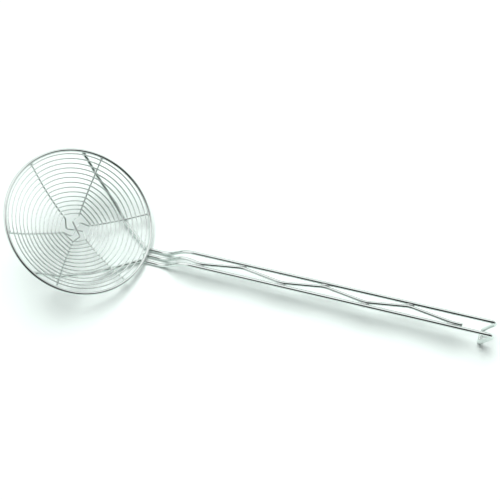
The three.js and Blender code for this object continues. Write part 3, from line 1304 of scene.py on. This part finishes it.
    def brace_welds(self) -> list[Weld]:
        """Beads along the zig-zag brace, where it touches the rods and the rim.

        Returns:
            The beads.
        """
        corners = self.brace_corners()
        half = self.brace_wire * Vector(self.brace_bead)
        beads = []
        for corner in corners[self.brace_lead:-1]:
            sign = math.copysign(1.0, corner.y)
            y = sign * (self.rod_side - self.rod_wire / 2 - self.basket.seat_gap / 2)
            place = Vector((corner.x, y, corner.z))
            beads.append(Weld(place, Vector((0.0, sign, 0.0)), ALONG_HANDLE, half))
        top = corners[0].z + self.brace_wire / 2 + self.basket.seat_gap / 2
        round_half = self.brace_wire * Vector(self.brace_rim_bead)
        beads.append(Weld(Vector((self.rim_x, 0.0, top)), UP, ALONG_HANDLE, round_half))
        return beads

    def strut_welds(self) -> list[Weld]:
        """Beads where the rods meet the rim and the spokes.

        Returns:
            The beads.
        """
        basket = self.basket
        beads = []
        seat_half = self.rod_wire * Vector(self.seat_bead)
        cross_half = basket.spoke_wire * Vector(self.cross_bead)
        below_rim = -(basket.rim_wire / 2 + basket.seat_gap / 2)
        tilt = math.radians(basket.rim_tilt)
        for side in Side:
            end, knee, _ = self.strut_plan(side)
            reach = self.seat_bead_place * self.strut_seat_length
            seat = end.lerp(knee, reach / (knee - end).length)
            along = (knee - end).to_3d().normalized()
            weld = Weld(Vector((seat.x, seat.y, below_rim)), UP, along, seat_half)
            beads.append(basket.in_frame_weld(weld))
            for p in [q for group in self.spoke_crossings(side) for q in group]:
                normal = basket.bowl.normal(p)
                place = basket.bowl.at(p) - normal * (basket.spoke_wire / 2 + self.strut_gap / 2)
                beads.append(basket.in_frame_weld(Weld(place, normal, along, cross_half)))
            over_rod = math.sqrt(basket.bowl.rim_radius ** 2 - self.rod_side ** 2)
            x = basket.centre.x + math.cos(tilt) * over_rod
            place = Vector((x, side.value * self.rod_side, self.rod_wire + basket.seat_gap / 2))
            beads.append(Weld(place, UP, ALONG_HANDLE, seat_half))
        return beads

    def build(self) -> list[bpy.types.Object]:
        """Builds the handle's pieces.

        Returns:
            The finished pieces.
        """
        heavy = self.finishes[Slot.HEAVY_WIRE]
        beads = [*self.brace_welds(), *self.strut_welds()]
        rods = self.wires.make("hairpin_round", self.hairpin_path(), self.rod_wire, heavy, beads)
        brace = self.wires.make("brace_round", self.brace_path(), self.brace_wire, heavy, beads)
        welds = self.welds.make("handle_weld_beads", beads, self.bead, BeadSize.LARGE)
        return [
            settle(rods, "handle_hairpin_rod"),
            settle(brace, "handle_brace_wire"),
            settle(welds),
        ]


@dataclass
class Studio:
    """Pale floor, soft light and the camera at the photograph's viewing angle."""

    eye: Triple = (0.26592, -0.55434, 1.19724)
    target: Triple = (-0.00795, 0.02513, 0.020)
    roll: float = 9.113
    view_angle: float = 21.771
    view_reach: float = 100.0
    floor_half: float = 40.0
    floor_colour: Colour = (0.88, 0.97, 0.935)
    floor_lift: float = 0.07
    fill: float = 0.04
    key_from: Triple = (-0.12, 0.40, 1.0)
    key_spread: float = 50.0
    key_strength: float = 3.63
    mirror_light: float = 1.20
    mirror_dark: float = 0.02
    screen_azimuth: float = -47.0
    screen_elevation: float = 37.0
    screen_reach: float = 57.0
    screen_softness: float = 8.0
    horizon_glow: Span = (1.0, 6.0)
    band_top: Span = (16.0, 24.0)
    band_depth: float = 0.7

    def build(self) -> None:
        """Builds the floor, the world, the lamp and the camera."""
        scene = bpy.context.scene
        scene.view_settings.view_transform = "Standard"
        self.build_floor()
        self.build_world(scene)
        self.build_key()
        self.build_camera(scene)

    @staticmethod
    def rays(graph: Graph) -> tuple[Value, Value]:
        """Kinds of rays that a surface or the room is seen by.

        Args:
            graph: the graph that the nodes go in.

        Returns:
            1 for rays from the camera or through glass, and 1 for mirror rays; 0 for the rest.
        """
        path = graph.node("ShaderNodeLightPath")
        kinds = ("Camera", "Transmission", "Glossy")
        camera, glass, mirror = (Value(graph, path.outputs[f"Is {kind} Ray"]) for kind in kinds)
        return graph.math("MAXIMUM", camera, glass), mirror

    def build_floor(self) -> None:
        """Wide pale floor that shows white where it is lit and keeps the shadow."""
        mesh = bpy.data.meshes.new("floor")
        half = self.floor_half
        corners = [(-half, -half, 0.0), (half, -half, 0.0), (half, half, 0.0), (-half, half, 0.0)]
        mesh.from_pydata(corners, [], [(0, 1, 2, 3)])
        floor = bpy.data.objects.new("floor", mesh)
        bpy.context.collection.objects.link(floor)
        material = bpy.data.materials.new("pale_floor")
        graph = bare_graph(material)
        direct, mirror = self.rays(graph)
        lift = graph.math("MAXIMUM", direct, mirror) * self.floor_lift
        diffuse = graph.value("ShaderNodeBsdfDiffuse", {}, {"Color": (*self.floor_colour, 1.0)})
        glow = graph.value("ShaderNodeEmission", {}, {"Color": (1.0, 1.0, 1.0, 1.0), "Strength": lift})
        both = graph.value("ShaderNodeAddShader", {}, {0: diffuse, 1: glow})
        graph.node("ShaderNodeOutputMaterial", {}, {"Surface": both})
        mesh.materials.append(material)

    def mirrored_room(self, graph: Graph) -> Value:
        """Room as the metal sees it: bright, with a dark round screen on the viewer's side.

        Low down, a darker band runs round the room, over a narrow glow at the horizon.

        Args:
            graph: the graph that the nodes go in.

        Returns:
            The strength of the light from each direction.
        """
        way = graph.value("ShaderNodeTexCoord", {}, {}, "Generated")
        axes = graph.node("ShaderNodeSeparateXYZ", {}, {"Vector": way})
        x, y, z = (Value(graph, axes.outputs[name]) for name in "XYZ")
        azimuth, elevation = math.radians(self.screen_azimuth), math.radians(self.screen_elevation)
        level = math.cos(elevation)
        sideways = x * (level * math.cos(azimuth)) + y * (level * math.sin(azimuth))
        towards = sideways + z * math.sin(elevation)
        inner = math.cos(math.radians(self.screen_reach - self.screen_softness))
        outer = math.cos(math.radians(self.screen_reach + self.screen_softness))
        under, over = (math.sin(math.radians(a)) for a in self.band_top)
        low, high = (math.sin(math.radians(a)) for a in self.horizon_glow)
        walls = towards.smooth(inner, outer) * (1 - self.band_depth * z.smooth(over, under))
        bright = graph.math("MAXIMUM", walls, z.smooth(high, low))
        return self.mirror_dark + (self.mirror_light - self.mirror_dark) * bright

    def build_world(self, scene: bpy.types.Scene) -> None:
        """White room for the camera, which the metal sees with its dark screen.

        Args:
            scene: the scene that gets the world.
        """
        world = bpy.data.worlds.new("white_room")
        graph = bare_graph(world)
        direct, mirror = self.rays(graph)
        room = self.mirrored_room(graph)
        strength = direct + (1 - direct) * (mirror * room + (1 - mirror) * self.fill)
        sockets = {"Color": (1.0, 1.0, 1.0, 1.0), "Strength": strength}
        background = graph.value("ShaderNodeBackground", {}, sockets)
        graph.node("ShaderNodeOutputWorld", {}, {"Surface": background})
        scene.world = world

    def build_key(self) -> None:
        """Wide soft light from above and a little from behind: the shadow falls towards the viewer."""
        lamp = bpy.data.lights.new("key", "SUN")
        lamp.angle = math.radians(self.key_spread)
        lamp.energy = self.key_strength
        key = bpy.data.objects.new("key", lamp)
        aim = -Vector(self.key_from)
        key.matrix_world = aim.to_track_quat("-Z", "Y").to_matrix().to_4x4()
        key.visible_glossy = False
        bpy.context.collection.objects.link(key)

    def build_camera(self, scene: bpy.types.Scene) -> None:
        """Camera fitted to the photograph.

        Args:
            scene: the scene that gets the camera.
        """
        data = bpy.data.cameras.new("camera")
        data.angle = math.radians(self.view_angle)
        data.clip_end = self.view_reach
        camera = bpy.data.objects.new("camera", data)
        aim = Vector(self.target) - Vector(self.eye)
        turn = aim.to_track_quat("-Z", "Y").to_matrix().to_4x4()
        roll = Matrix.Rotation(math.radians(-self.roll), 4, "Z")
        camera.matrix_world = Matrix.Translation(self.eye) @ turn @ roll
        bpy.context.collection.objects.link(camera)
        scene.camera = camera


def main() -> None:
    """Builds the dressed part and its studio."""
    logging.basicConfig(level=logging.INFO, format="%(message)s")
    heavy = WireFinish("heavy_wire_bright")
    fine = WireFinish(
        "fine_wire_bright",
        bright=(0.86, 0.915, 0.893),
        dull=(0.68, 0.735, 0.715),
        roughness=0.12,
        grain_length=0.008,
    )
    finishes = {Slot.HEAVY_WIRE: heavy.material(), Slot.FINE_WIRE: fine.material()}
    bead = WeldFinish("weld_bead").material()
    wires = WireMaker()
    welds = WeldMaker()
    basket = Basket(finishes, wires, welds, bead)
    handle = Handle(finishes, wires, welds, bead, basket)
    pieces = [*basket.build(handle.strut_welds()), *handle.build()]
    for piece in pieces:
        LOG.info("%s: %d faces", piece.name, len(piece.data.polygons))
    Studio().build()


if __name__ == "__main__":
    main()
